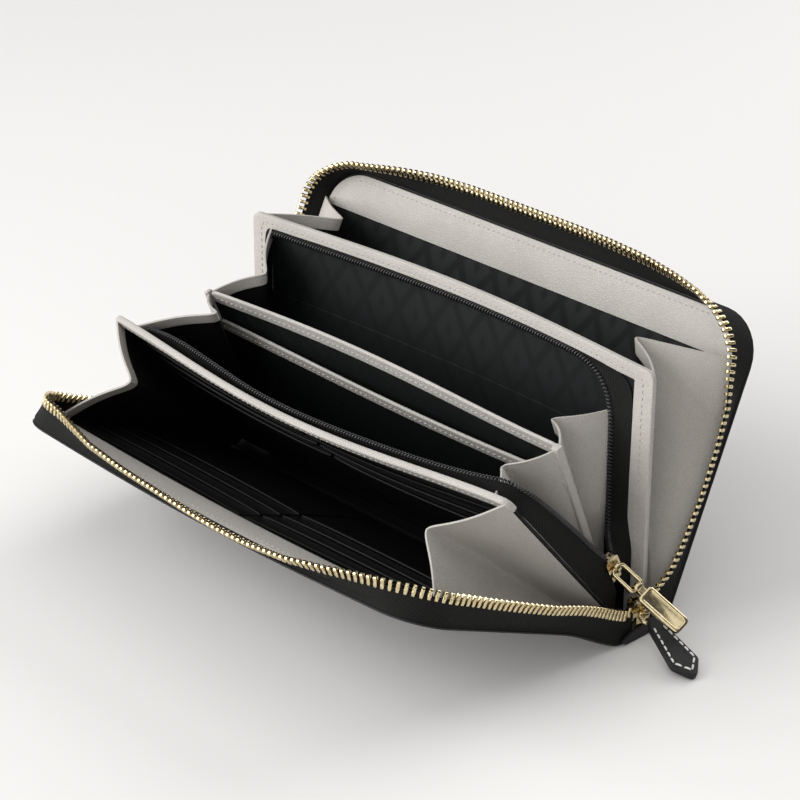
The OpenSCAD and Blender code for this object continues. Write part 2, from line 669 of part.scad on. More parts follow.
// The plate's knuckle turns on the bail's far leg, and a tongue joins it to the plate.
module inner_pull_plate() {
    knuckle_r = wire_r + 0.1 + bridge_wall;
    knuckle_w = bail_w - 0.6;
    tongue = knuckle_r + 1.4;
    color(gold) translate(plate_hinge) rotate([pull_lean, 0, 0]) rotate([0, plate_drop, 0])
        difference() {
            union() {
                translate([0, knuckle_w / 2, 0]) rotate([90, 0, 0]) cylinder(r = knuckle_r, h = knuckle_w);
                translate([0, -knuckle_w / 2, -plate_t / 2]) cube([tongue + join, knuckle_w, plate_t]);
                translate([tongue, -plate_w / 2, -plate_t / 2]) cube([plate_l - tongue, plate_w, plate_t]);
            }
            translate([0, bail_w, 0]) rotate([90, 0, 0]) cylinder(r = wire_r + 0.1, h = 2 * bail_w);
        }
}

spine_leather();
spine_lining();
outer_slider();
outer_zip_stop();
front_leather();
front_board();
front_lining();
front_facing();
front_card_slot(1);  // front_card_slot_1
front_card_slot(2);  // front_card_slot_2
front_card_slot(3);  // front_card_slot_3
front_card_slot(4);  // front_card_slot_4
front_zip_tape();
front_zip_teeth();
back_leather();
back_board();
back_lining();
back_facing();
back_zip_tape();
back_zip_teeth();
divider_1_panel();
divider_1_binding();
divider_1_card_slot(1);  // divider_1_card_slot_1
divider_1_card_slot(2);  // divider_1_card_slot_2
divider_1_card_slot(3);  // divider_1_card_slot_3
divider_1_zip_tape();
divider_1_zip_coil();
divider_2_back_panel();
divider_2_back_binding();
divider_2_front_panel();
divider_2_front_binding();
inner_slider();
inner_zip_stop();
divider_3_panel();
divider_3_frame();
divider_3_pocket();
divider_3_zip_tape();
divider_3_zip_coil();
gusset_1(-1);  // gusset_1_left
gusset_1(1);  // gusset_1_right
gusset_2(-1);  // gusset_2_left
gusset_2(1);  // gusset_2_right
gusset_3(-1);  // gusset_3_left
gusset_3(1);  // gusset_3_right
gusset_4(-1);  // gusset_4_left
gusset_4(1);  // gusset_4_right
tab_ring();
tab_front_leather();
tab_back_leather();
inner_bail();
inner_pull_plate();
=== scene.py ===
import json
import math

import bpy
import numpy as np
from mathutils import Matrix, Vector


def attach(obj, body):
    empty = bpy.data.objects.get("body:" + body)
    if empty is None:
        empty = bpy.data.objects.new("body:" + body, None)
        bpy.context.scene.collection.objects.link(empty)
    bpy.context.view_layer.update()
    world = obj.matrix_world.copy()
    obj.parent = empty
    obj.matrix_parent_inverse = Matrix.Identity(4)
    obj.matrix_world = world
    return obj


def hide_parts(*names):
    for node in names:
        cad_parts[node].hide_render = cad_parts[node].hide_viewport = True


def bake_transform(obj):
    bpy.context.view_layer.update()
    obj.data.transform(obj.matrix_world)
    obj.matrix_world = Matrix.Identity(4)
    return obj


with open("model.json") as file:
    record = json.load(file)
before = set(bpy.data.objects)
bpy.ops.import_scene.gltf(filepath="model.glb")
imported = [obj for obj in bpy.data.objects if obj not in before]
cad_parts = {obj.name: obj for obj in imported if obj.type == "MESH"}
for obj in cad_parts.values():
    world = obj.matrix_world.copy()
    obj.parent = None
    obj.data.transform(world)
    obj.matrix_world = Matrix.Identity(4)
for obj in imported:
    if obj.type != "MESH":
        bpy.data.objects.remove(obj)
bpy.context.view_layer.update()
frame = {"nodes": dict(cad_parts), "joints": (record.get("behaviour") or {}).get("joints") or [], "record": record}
mm = 0.001


# ---- Cover leather ----
# A cover is stiff board in black leather, turned in over the board's edge. The leather runs
# on round the fold and under the spine, to its middle. Covers and dividers are all leaves:
# each leans from its own fold line along X, with an inner face that looks to the middle.
length, height, corner = 195 * mm, 102 * mm, 16 * mm
folds = {joint["child"]: joint for joint in frame["joints"]}
shares = {c["joint"]: c["ratio"] for c in frame["record"]["behaviour"]["couplings"]}


def leaf(body, inner, height, offsets, lift=0):
    """A body's lean in radians, its fold's Y and Z, the Y direction of its inner face, and
    its bend. The lean is the front cover's own, times the share that couples the body to
    it. Offsets at five places along the top edge, in mm, give the bend."""
    lean = -folds["front_cover"]["range_deg"][0] * shares.get(folds[body]["name"], 1)
    shape = np.polyfit((-1, -0.5, 0, 0.5, 1), offsets, 4) * mm
    return (math.radians(lean), *folds[body]["pos_m"][1:], inner, (height * mm, shape, lift * mm))


def on_leaf(place, x, off, up):
    """Points of a leaf: x along the spine, off towards its inner face, up from its fold.
    Y is the fold's, plus off times the lean's cosine, less up times the lean's sine."""
    lean, y, z, inner = place[:4]
    x, off, up = np.broadcast_arrays(x, off, up)
    return np.stack([
        x,
        y + inner * off * math.cos(lean) - up * math.sin(lean),
        z + inner * off * math.sin(lean) + up * math.cos(lean),
    ], -1)


front = leaf("front_cover", 1, 102, (-0.3, -2, -2.7, -2, -0.3), lift=2.9)
rear = leaf("back_cover", -1, 102, (0, -0.7, -1, -0.7, 0))
covers = (("front_cover", front, "front"), ("back_cover", rear, "back"))


def smooth(t):
    """A step from 0 to 1 that starts and ends level: three t squared less two t cubed."""
    t = np.clip(t, 0, 1)
    return t * t * (3 - 2 * t)


def bend(place, x, up):
    """How far a leaf stands off its flat shape, towards its inner side. The bend grows with
    the square of the height, and a lift comes in over the first 30 mm."""
    height, shape, lift = place[4]
    up = np.clip(up, 0, None)
    curve = np.polyval(shape, np.clip(x / (90 * mm), -1.08, 1.08))
    return curve * (up / height) ** 2 + lift * smooth(up / (30 * mm))


def spread(place, x, up):
    """The back cover's left half is drawn out by up to 6 mm towards its top corner."""
    if place is not rear:
        return x
    return x - 6 * mm * np.clip(-x / (length / 2), 0, 1) ** 2 * smooth(up / (80 * mm))


def bent(place, x, off, up):
    """A leaf's points with the leaf's own bend added to their offset."""
    return on_leaf(place, spread(place, x, up), off + bend(place, x, up), up)


def unit(v):
    """Directions of length one."""
    return v / np.linalg.norm(v, axis=-1, keepdims=True)


def mesh_piece(name, points, faces, material, uv=None, sharp=40):
    """An object from points, faces and a material. uv gives each point a place on the cut
    sheet, in metres. Edges that turn more than sharp degrees stay crisp."""
    mesh = bpy.data.meshes.new(name)
    mesh.from_pydata(np.asarray(points, float).tolist(), [], [list(map(int, f)) for f in faces])
    if uv is not None:
        at = np.empty(len(mesh.loops), np.int32)
        mesh.loops.foreach_get("vertex_index", at)
        layer = mesh.uv_layers.new(name="cut")
        layer.data.foreach_set("uv", np.asarray(uv, float)[at].ravel())
    mesh.polygons.foreach_set("use_smooth", [True] * len(mesh.polygons))
    mesh.set_sharp_from_angle(angle=math.radians(sharp))
    mesh.materials.append(material)
    piece = bpy.data.objects.new(name, mesh)
    bpy.context.scene.collection.objects.link(piece)
    return piece


def grid_faces(rows, cols, start=0):
    """Four-sided faces of a grid of points that are numbered row by row."""
    a = start + (np.arange(rows - 1)[:, None] * cols + np.arange(cols - 1)).ravel()
    return np.stack([a, a + 1, a + cols + 1, a + cols], 1)


def volume(points, faces):
    """Signed volume inside a closed mesh: the sum over its triangles of their corners'
    triple product, over six. It is positive when the faces look outwards."""
    total = 0
    for face in faces:
        a, rest = points[face[0]], points[list(face[1:])]
        total += np.einsum("j,ij->", a, np.cross(rest[:-1], rest[1:]))
    return total / 6


def stack(name, layers, material, uv=None, sharp=40):
    """A closed piece from point grids of one shape. The first and last are its faces, and
    the ones between are joined by their outlines only, to round its edge."""
    rows, cols = layers[0].shape[:2]
    at = np.arange(rows * cols).reshape(rows, cols)
    ring = np.concatenate([at[0, :-1], at[:-1, -1], at[-1, :0:-1], at[:0:-1, 0]])
    points = [layers[0].reshape(-1, 3)]
    faces = [grid_faces(rows, cols)[:, ::-1]]
    last, start = ring, rows * cols
    for number, layer in enumerate(layers[1:], 1):
        flat = layer.reshape(-1, 3)
        if number < len(layers) - 1:
            points.append(flat[ring])
            now = start + np.arange(len(ring))
            start += len(ring)
        else:
            points.append(flat)
            now = start + ring
            faces.append(grid_faces(rows, cols, start))
        faces.append(np.stack([last, np.roll(last, -1), np.roll(now, -1), now], 1))
        last = now
    points, faces = np.concatenate(points), np.concatenate(faces)
    if volume(points, faces) < 0:
        faces = faces[:, ::-1]
    if uv is not None:
        flat = uv.reshape(-1, 2)
        uv = np.concatenate([flat] + [flat[ring]] * (len(layers) - 2) + [flat])
    return mesh_piece(name, points, faces, material, uv, sharp)


def leaf_grid(half, top, corner, foot, inset=0, cols=61, rows=24, turns=9):
    """x and up over a leaf's outline, drawn in by inset. The rows near the top follow the
    corner's quarter circle: up is its sine, and the row's half length its cosine."""
    half, top, corner = half - inset, top - inset, max(corner - inset, 0.3 * mm)
    turn = np.linspace(0, np.pi / 2, turns)
    side = np.linspace(foot, top - corner, rows, endpoint=False)
    up = np.r_[side, top - corner + corner * np.sin(turn)]
    edge = np.r_[np.full(rows, half), half - corner + corner * np.cos(turn)]
    x = edge[:, None] * np.linspace(-1, 1, cols)
    return x, np.broadcast_to(up[:, None], x.shape)


def shell_path(place, inset):
    """The cover's middle line from the spine's middle to its top edge, for an outline drawn
    in by inset: (Y and Z, inner normal, distance up from the fold, half length)."""
    lean, y, z, inner = place[:4]
    along = np.array([-math.sin(lean), math.cos(lean)])
    outward = np.array([-inner, 0.0])
    corner_at = np.array([y, z]) + along * (1.2 * mm - z) / along[1]
    reach = 3 * mm
    a, b = corner_at - outward * reach, corner_at + along * reach
    foot = float(np.dot(b - [y, z], along))
    t = np.linspace(0, 1, 9)[1:-1, None]
    arc = a * (1 - t) ** 2 + 2 * corner_at * t * (1 - t) + b * t ** 2
    slope = unit((corner_at - a) * (1 - t) + (b - corner_at) * t)
    start = np.array([0, 1.2 * mm])
    under = start + (a - start) * np.linspace(0, 1, 4)[:, None]
    x, up = leaf_grid(length / 2, height, corner, foot, inset, cols=2, rows=26)
    rise = up[:, 0]
    path = np.concatenate([under, arc, np.array([y, z]) + along * rise[:, None]])
    tangent = np.concatenate([np.tile(outward, (4, 1)), slope, np.tile(along, (len(rise), 1))])
    normal = np.stack([-tangent[:, 1], tangent[:, 0]], 1)
    normal *= np.sign(normal[:, 1:])
    before = np.linspace(-10 * mm, foot, 4 + len(t), endpoint=False)
    half = np.r_[np.full(4 + len(t), length / 2 - inset), x[:, -1]]
    return path, normal, np.r_[before, rise], half


def shell_layer(place, inset, off, cols=61):
    """Grid of the shell at an inset and an offset. Its turned edge is thinner at the spine,
    where no board lies in it."""
    path, normal, up, half = shell_path(place, inset)
    lift = np.clip(up / (5 * mm), 0, 1)
    off = np.where(off > 0.3 * mm, 0.3 * mm + (off - 0.3 * mm) * lift, off)
    x, up = half[:, None] * np.linspace(-1, 1, cols), up[:, None]
    lifted = off[:, None] + bend(place, x, up)
    across = path[:, None] + normal[:, None] * lifted[..., None]
    return np.concatenate([spread(place, x, up)[..., None], across], -1)


def add(tree, kind, inputs=(), **settings):
    """A new node, with its settings, and its inputs filled with numbers or with sockets."""
    made = tree.nodes.new("ShaderNode" + kind)
    for key, value in settings.items():
        setattr(made, key, value)
    for key, value in dict(inputs).items():
        if isinstance(value, bpy.types.NodeSocket):
            tree.links.new(value, made.inputs[key])
        else:
            made.inputs[key].default_value = value
    return made


def surface(name, **sockets):
    """A material with the given values on its shader: (material, tree, shader)."""
    material = bpy.data.materials.new(name)
    material.use_nodes = True
    shader = material.node_tree.nodes["Principled BSDF"]
    for key, value in sockets.items():
        shader.inputs[key.replace("_", " ")].default_value = value
    return material, material.node_tree, shader


def tint(tree, shader, mask, dark, light):
    """Colours the shader between dark and light by a mask from 0 to 1."""
    mix = add(tree, "Mix", {0: mask, "A": (*dark, 1), "B": (*light, 1)}, data_type="RGBA")
    tree.links.new(mix.outputs["Result"], shader.inputs["Base Color"])


def gloss(tree, shader, mask, low, high):
    """Roughness from low to high by a mask from 0 to 1."""
    made = add(tree, "MapRange", {"Value": mask, "To Min": low, "To Max": high})
    tree.links.new(made.outputs[0], shader.inputs["Roughness"])


def relief(tree, shader, rise, depth, normal=None):
    """Raises the surface by a rise from 0 to 1 times depth, over an earlier normal."""
    bump = add(tree, "Bump", {"Height": rise, "Distance": depth, "Strength": 1})
    if normal is not None:
        tree.links.new(normal, bump.inputs["Normal"])
    tree.links.new(bump.outputs["Normal"], shader.inputs["Normal"])
    return bump.outputs["Normal"]


def hide(name, dark, light, cell, depth, rough, ior=1.5):
    """Grained leather: rounded cells with creases between them, over soft unevenness.
    cell is the grain's size and depth its relief. Creases are darker and rougher."""
    material, tree, shader = surface(name, Roughness=rough[0], IOR=ior)
    place = add(tree, "TexCoord").outputs["Object"]
    warp = add(tree, "TexNoise", {"Vector": place, "Scale": 0.3 / cell, "Detail": 2})
    moved = add(tree, "VectorMath", {0: warp.outputs["Color"], "Scale": cell * 0.9},
                operation="SCALE")
    where = add(tree, "VectorMath", {0: place, 1: moved.outputs[0]})
    cells = add(tree, "TexVoronoi", {"Vector": where.outputs[0], "Scale": 1 / cell},
                feature="DISTANCE_TO_EDGE")
    ridge = add(tree, "MapRange", {"Value": cells.outputs["Distance"], "From Max": 0.22},
                interpolation_type="SMOOTHSTEP").outputs[0]
    fine = add(tree, "TexNoise", {"Vector": place, "Scale": 3 / cell, "Detail": 3})
    mixed = add(tree, "Math", {0: fine.outputs["Fac"], 1: 0.35, 2: ridge},
                operation="MULTIPLY_ADD")
    broad = add(tree, "TexNoise", {"Vector": place, "Scale": 45, "Detail": 3}).outputs["Fac"]
    tone = add(tree, "Math", {0: ridge, 1: 0.45, 2: broad}, operation="MULTIPLY_ADD")
    tint(tree, shader, tone.outputs[0], dark, light)
    gloss(tree, shader, ridge, rough[1], rough[0])
    soft = relief(tree, shader, broad, 0.25 * mm)
    relief(tree, shader, mixed.outputs[0], depth, soft)
    return material


black_leather = hide("black_leather", (0.006, 0.006, 0.0065), (0.016, 0.016, 0.017), 0.5 * mm,
                     0.05 * mm, (0.5, 0.68), ior=1.36)
turned_edge = [(1.4, -1.2), (0.75, -1.13), (0.35, -1), (0.1, -0.8), (0, -0.55), (0.06, -0.36),
               (0.25, -0.25), (0.72, -0.2), (0.74, 0.8), (0.8, 1.08), (1, 1.2), (1.25, 1.2),
               (1.42, 1.08), (1.5, 0.8), (1.6, 0)]
for body, place, name in covers:
    shell = stack(f"{name}_cover_leather",
                  [shell_layer(place, inset * mm, off * mm) for inset, off in turned_edge],
                  black_leather)
    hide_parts(f"{name}_leather", *(["spine_leather"] if name == "front" else []))
    on_leaf(place, 0, 0, 4 * mm).tolist()
    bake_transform(shell)


# ---- Spine ends ----
# At each end of the spine the leather stands up in a short lip round the covers' feet. It
# is a skived strip with rounded edges, lower towards its two ends.
def rounded(low, high, r):
    """Layers of (inset, off) from low to high, with both edges rounded to a radius r."""
    turn = np.linspace(0, np.pi / 2, 4)
    edge = np.stack([r * (1 - np.sin(turn)), low + r * (1 - np.cos(turn))], 1)
    return np.concatenate([edge, np.stack([edge[::-1, 0], low + high - edge[::-1, 1]], 1)])


lip_reach, lip_top = 10.6, 4.4
for side, word in ((-1, "left"), (1, "right")):
    layers = []
    for inset, off in rounded(0, 1.1, 0.4):
        y = (lip_reach - inset) * np.sin(np.pi / 2 * np.linspace(-1, 1, 25))
        top = lip_top - inset - 2.4 * (y / lip_reach) ** 4
        low = 0.3 + 1.3 * (y / lip_reach) ** 8
        z = low + (top - low) * np.linspace(0, 1, 7)[:, None]
        x = 97.3 + off + 0.3 * (z / lip_top) ** 2
        layers.append(np.stack([side * x, np.broadcast_to(y, z.shape), z], -1) * mm)
    lip = stack(f"spine_end_{word}", layers, black_leather)
    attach(lip, "spine")


# ---- Cover boards and linings ----
# Grey board and a lining cloth lie inside the turned edge. The cloth is pasted over the
# board, and carries a small lozenge figure in its own colour.
def leaf_piece(name, place, material, layers, half, top, corner, foot, **counts):
    """A flat piece of a leaf from layers of (inset, off), which round its edges. Its foot
    is drawn in with the rest of the outline."""
    grids = []
    for inset, off in layers:
        x, up = leaf_grid(half, top, corner, foot + inset, inset, **counts)
        grids.append(bent(place, x, off, up))
    return stack(name, grids, material, np.stack([x, up], -1))


def speckled(name, dark, light, scale, detail, depth, rough=None, **sockets):
    """Fine specks in tone and relief, and in roughness between two values."""
    material, tree, shader = surface(name, **sockets)
    place = add(tree, "TexCoord").outputs["Object"]
    speck = add(tree, "TexNoise", {"Vector": place, "Scale": scale, "Detail": detail}).outputs["Fac"]
    tint(tree, shader, speck, dark, light)
    if rough:
        gloss(tree, shader, speck, *rough)
    relief(tree, shader, speck, depth)
    return material


def cloth(name, dark, light, pitch, depth, rough, figure=0.0):
    """Woven lining: threads across threads at a pitch, on the piece's own cut sheet. With
    a figure, diamonds of that width lie in the weave as tone on tone."""
    material, tree, shader = surface(name, Roughness=rough, IOR=1.3)
    parts = add(tree, "SeparateXYZ", {0: add(tree, "UVMap", uv_map="cut").outputs["UV"]}).outputs
    waves = []
    for axis in (0, 1):
        turn = add(tree, "Math", {0: parts[axis], 1: 2 * math.pi / pitch}, operation="MULTIPLY")
        waves.append(add(tree, "Math", {0: turn.outputs[0]}, operation="SINE").outputs[0])
    weave = add(tree, "Math", {0: waves[0], 1: waves[1]}, operation="MULTIPLY")
    rise = add(tree, "MapRange", {"Value": weave.outputs[0], "From Min": -1}).outputs[0]
    mask = rise
    if figure:
        legs = []
        for axis, width in ((0, figure), (1, figure * 1.5)):
            share = add(tree, "Math", {0: parts[axis], 1: 1 / width}, operation="MULTIPLY")
            leg = add(tree, "Math", {0: share.outputs[0], 1: 1}, operation="PINGPONG")
            legs.append(leg.outputs[0])
        total = add(tree, "Math", {0: legs[0], 1: legs[1]})
        band = add(tree, "Math", {0: total.outputs[0], 1: 0.5}, operation="PINGPONG")
        edge = add(tree, "MapRange", {"Value": band.outputs[0], "From Min": 0.1, "From Max": 0.34},
                   interpolation_type="SMOOTHSTEP").outputs[0]
        mask = add(tree, "Math", {0: rise, 1: 0.35, 2: edge}, operation="MULTIPLY_ADD").outputs[0]
        gloss(tree, shader, edge, rough, rough - 0.1)
    tint(tree, shader, mask, dark, light)
    relief(tree, shader, rise, depth)
    return material


def fix(piece, colour, body, *nodes):
    """Puts a piece in the place of its solids and on its body. colour is not used."""
    if nodes:
        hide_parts(*nodes)
    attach(piece, body)


paper_board = speckled("paper_board", (0.16, 0.14, 0.12), (0.27, 0.25, 0.22), 900, 4, 0.05 * mm,
                       Roughness=0.85)
lining_cloth = cloth("lining_cloth", (0.0025, 0.0028, 0.003), (0.0053, 0.007, 0.0073), 0.6 * mm,
                     0.03 * mm, 0.7, figure=8 * mm)
turn_in = 1.7 * mm
for body, place, name in covers:
    board = leaf_piece(f"{name}_cover_board", place, paper_board,
                       [(turn_in, 0.02 * mm), (turn_in, 0.78 * mm)], length / 2, height, corner, 0)
    fix(board, "board", body, f"{name}_board")
    lining = leaf_piece(f"{name}_cover_lining", place, lining_cloth,
                        rounded(0.8, 1.2, 0.15) * mm + [turn_in, 0], length / 2, height, corner, 0)
    fix(lining, "black_cloth", body, f"{name}_lining")


# ---- Facings ----
# A band of light grey leather faces the lining along each cover's top edge. It is pressed
# thinner at its edges, and a row of lockstitch in grey thread holds it.
grey_leather = hide("grey_leather", (0.36, 0.335, 0.305), (0.485, 0.46, 0.425), 0.8 * mm,
                    0.07 * mm, (0.5, 0.62))
facing_foot = 84.8 * mm


def facing_grid(inset):
    """x and up over a facing: straight rows that end on the circle of the cover's corner,
    from the angle at which that circle meets the facing's foot."""
    half, top, r = length / 2 - turn_in - inset, height - turn_in - inset, 14.3 * mm - inset
    start = math.asin(max(0, (facing_foot + inset - top + r) / r))
    turn = np.linspace(start, np.pi / 2, 12)
    x = (half - r + r * np.cos(turn))[:, None] * np.linspace(-1, 1, 81)
    return x, np.broadcast_to((top - r + r * np.sin(turn))[:, None], x.shape)


def facing_layer(place, inset, off):
    """The facing's points, swollen by a third of a millimetre between its edges."""
    x, up = facing_grid(inset)
    swell = np.clip(np.sin(np.pi * (up - facing_foot) / (15.5 * mm)), 0, 1) ** 0.5
    return bent(place, x, off + (0.3 * mm * swell if off > 1.7 * mm else 0), up)


def thread_material(name, dark, light):
    """Twisted polyester thread: fine bands across it, and a soft gloss."""
    material, tree, shader = surface(name, Roughness=0.45, Sheen_Weight=0.2)
    place = add(tree, "TexCoord").outputs["Object"]
    wave = add(tree, "TexWave", {"Vector": place, "Scale": 1800, "Distortion": 1.5},
               bands_direction="DIAGONAL").outputs["Fac"]
    tint(tree, shader, wave, dark, light)
    relief(tree, shader, wave, 0.03 * mm)
    return material


def run_along(line):
    """The distance along a line of points, at each of them."""
    return np.r_[0, np.cumsum(np.linalg.norm(np.diff(line, axis=0), axis=1))]


def points_at(line, run, at):
    """Points between those of a line, where its run has the values at."""
    return np.stack([np.interp(at, run, line[:, k]) for k in range(3)], 1)


def tube_faces(rings, sides):
    """Faces round a tube of rings of points, and over its two ends."""
    a = np.arange((rings - 1) * sides)
    b = a - a % sides + (a + 1) % sides
    around = np.stack([a, b, b + sides, a + sides], 1).tolist()
    return around + [list(range(sides))[::-1], list(range((rings - 1) * sides, rings * sides))]


def repeated(faces, size, count):
    """The faces of count like shapes of size points each."""
    return [[k + start for k in face] for start in range(0, count * size, size) for face in faces]


def stitches(name, lines, ways, material, pitch=2.4 * mm, size=0.28 * mm, gap=0.35):
    """Threads along lines that lie on the leather. Each is a spindle of five rings that
    stands out of the leather in its middle, in the way given for its line."""
    points, sides = [], 6
    turn = (np.arange(sides) * 2 * np.pi / sides)[:, None]
    spindle = ((0, 0.35, -0.5), (0.14, 0.85, 0.3), (0.5, 1, 0.6), (0.86, 0.85, 0.3), (1, 0.35, -0.5))
    for line, out in zip(lines, ways):
        run = run_along(line)
        ends = points_at(line, run, np.linspace(0, run[-1], max(2, round(run[-1] / pitch) + 1)))
        for a, b in zip(ends[:-1], ends[1:]):
            across = unit(np.cross(unit(b - a), out))
            for t, r, lift in spindle:
                centre = a + (b - a) * (gap / 2 + t * (1 - gap)) + out * size * lift
                points.append(centre + size * r * (np.cos(turn) * across + np.sin(turn) * out))
    faces = repeated(tube_faces(5, sides), 5 * sides, len(points) // 5)
    return mesh_piece(name, np.concatenate(points), faces, material)


def rim(half, top, r, foot, sides, turns, longs):
    """x and up of a line up a leaf's left side, round both corners and down its right side.
    The counts are of points up a side, round a corner and along the top."""
    turn = np.linspace(0, np.pi / 2, turns)[1:-1]
    side = np.linspace(foot, top - r, sides)
    x = np.r_[np.full(sides, -half), -half + r - r * np.cos(turn),
              np.linspace(-half + r, half - r, longs), half - r + r * np.sin(turn),
              np.full(sides, half)]
    up = np.r_[side, top - r + r * np.sin(turn), np.full(longs, top),
               top - r + r * np.cos(turn), side[::-1]]
    return x, up


def inner_normal(place):
    """The direction that a leaf's inner face looks in."""
    return on_leaf(place, 0, 1, 0) - on_leaf(place, 0, 0, 0)


grey_thread = thread_material("grey_thread", (0.33, 0.31, 0.29), (0.55, 0.53, 0.50))
seam_in = 3.9 * mm
for body, place, name in covers:
    facing = stack(f"{name}_cover_facing",
                   [facing_layer(place, i, o) for i, o in rounded(1.2, 1.8, 0.3) * mm],
                   grey_leather, np.stack(facing_grid(0), -1))
    fix(facing, "grey_leather", body, f"{name}_facing")
    x, up = rim(length / 2 - seam_in, height - seam_in, corner - seam_in, 87 * mm, 14, 10, 60)
    thread = stitches(f"{name}_facing_stitches", [bent(place, x, 1.86 * mm, up)],
                      [inner_normal(place)], grey_thread)
    fix(thread, "grey_leather", body)


# ---- Card slots ----
# Inside the front cover and in front of divider 1, rows of two card slots lie each on the
# one above it. A slot is a strip of cloth with a folded top edge, a little open.
slot_cloth = cloth("slot_cloth", (0.002, 0.002, 0.002), (0.011, 0.011, 0.011), 0.5 * mm,
                   0.02 * mm, 0.36)
first = leaf("divider_1", 1, 89, (0.3, -3.7, -5.7, -3.4, 0.3))


def slot(name, place, x_low, x_high, top, low, side):
    """One card slot between two seams. Its upper edge stands off by up to 0.7 mm in the
    middle, fading over 25 mm, and is rolled into a bead."""
    x, down = np.meshgrid(np.linspace(x_low, x_high, 33),
                          np.array([40, 25, 15, 9, 5, 2.5, 1.3, 0.8, 0.4, 0.15, 0]) * mm)
    across = np.sin(np.pi * (x - x_low) / (x_high - x_low)) ** 0.6
    loose = 0.7 * mm * across * np.clip(1 - down / (25 * mm), 0, 1) ** 2
    bead = 0.22 * mm * np.exp(-((down / (0.9 * mm)) ** 2))
    up = top - 0.5 * mm * across - down
    layers = [bent(place, x, side * (off + loose), up) for off in (low, low + 0.3 * mm + bead)]
    return stack(name, layers, slot_cloth, np.stack([x, -down], -1))


for body, place, word, rows, top, low, side in (("front_cover", front, "front", 4, 92, 1.2, 1),
                                                ("divider_1", first, "divider_1", 3, 87.3, 0.5, -1)):
    for number in range(1, rows + 1):
        for hand, x_low, x_high in (("left", -84, -0.8), ("right", 0.8, 84)):
            strip = slot(f"{word}_card_slot_{number}_{hand}", place, x_low * mm, x_high * mm,
                         (top - 9 * number) * mm, (low + 0.35 * (number - 1)) * mm, side)
            fix(strip, "black_cloth", body, f"{word}_card_slot_{number}")


# ---- Divider 1 ----
# A divider is a cloth-covered panel. A strip of grey leather is folded over its top edge
# and stitched down through both sides.
divider_top, divider_half = 88.9 * mm, 94 * mm


def divider_panel(name, place, low, high, half, top):
    """A divider's panel, with rounded edges."""
    return leaf_piece(name, place, lining_cloth, rounded(low, high, 0.2 * mm), half, top,
                      3 * mm, 0.3 * mm, cols=81)


def bound_panel(word, body, place, low, high, half, top, swell, seam):
    """A divider's panel and the leather strip round its top edge, a thin sleeve with full,
    rounded edges. seam gives half the length of its two rows of stitches, and how far they
    lie below the top and off the panel."""
    panel = divider_panel(f"{word}_lining", place, low, high, half, top)
    layers, over, wide = [], 0.4 * mm, 4.6 * mm
    for inset, off in rounded(low - swell, high + swell, min(0.42 * mm + swell / 2, 0.9 * mm)):
        x, up = leaf_grid(half + over, top + over, 3.4 * mm, top - wide + inset * 0.4, inset,
                          cols=81, rows=3, turns=7)
        layers.append(bent(place, x, off, up))
    strip = stack(f"{word}_edge", layers, grey_leather, np.stack([x, up], -1))
    row, down, off = np.array(seam) * mm
    x, way = np.linspace(-row, row, 60), inner_normal(place)
    lines = [bent(place, x, at, np.full(60, top - down)) for at in (low - off, high + off)]
    thread = stitches(f"{word}_stitches", lines, [-way, way], grey_thread, size=0.2 * mm)
    fix(panel, "black_cloth", body, f"{word}_panel")
    fix(strip, "grey_leather", body, f"{word}_binding")
    fix(thread, "grey_leather", body)


bound_panel("divider_1", "divider_1", first, -0.5 * mm, 0.5 * mm, divider_half, divider_top,
            0.75 * mm, (91, 2.4, 0.64))


# ---- Divider 2 ----
# The middle divider is a slip pocket of two thin cloth panels. The front one stands lower
# and a little open, and grey leather is turned round both ends, down to the fold.
middle = leaf("divider_2", 1, 76, (-1.8, 0.8, 1.4, -0.2, -1))
slip = leaf("divider_2", 1, 64.4, (-1.3, -2.1, -3.2, -3.2, -1.6))
for name, place, low, high, top in (("back", middle, 0.25, 0.75, 76), ("front", slip, -0.75, -0.25, 64)):
    bound_panel(f"divider_2_{name}", "divider_2", place, low * mm, high * mm, 83 * mm, top * mm,
                0.4 * mm, (81, 2.3, 0.37))

for side, word, reach in ((-1, "left", 82.9), (1, "right", 81.6)):
    layers = []
    for inset, off in rounded(-1.75, 1.3, 0.6) * mm:
        up, x = np.meshgrid(np.linspace(2 * mm, 76.2 * mm - inset, 26),
                            [reach * mm + inset, 84.1 * mm - inset], indexing="ij")
        layers.append(bent(middle, side * x, off, up))
    sleeve = stack(f"divider_2_end_{word}", layers, grey_leather)
    fix(sleeve, "grey_leather", "divider_2")


# ---- Divider 3 ----
# The back divider's front face has a leather frame along its top and down both sides,
# stitched all round, and a flat cloth pocket between them.
third = leaf("divider_3", -1, 89, (-1, -5.1, -7.4, -5.7, -1.5))


def frame_grid(inset_out, inset_in, off):
    """Grid of the frame: five lines that follow the divider's rim, from its outer edge to
    its inner one. The sides are wider than the top."""
    lines = []
    for t in np.linspace(0, 1, 5):
        half = divider_half - inset_out - t * (8 * mm - inset_out - inset_in)
        top = divider_top - inset_out - t * (4.6 * mm - inset_out - inset_in)
        r = max((1 - t) * (3 * mm - inset_out), 0.4 * mm)
        x, up = rim(half, top, r, 0.3 * mm, 31, 8, 80)
        lines.append(bent(third, x, off, up))
    return np.stack(lines)


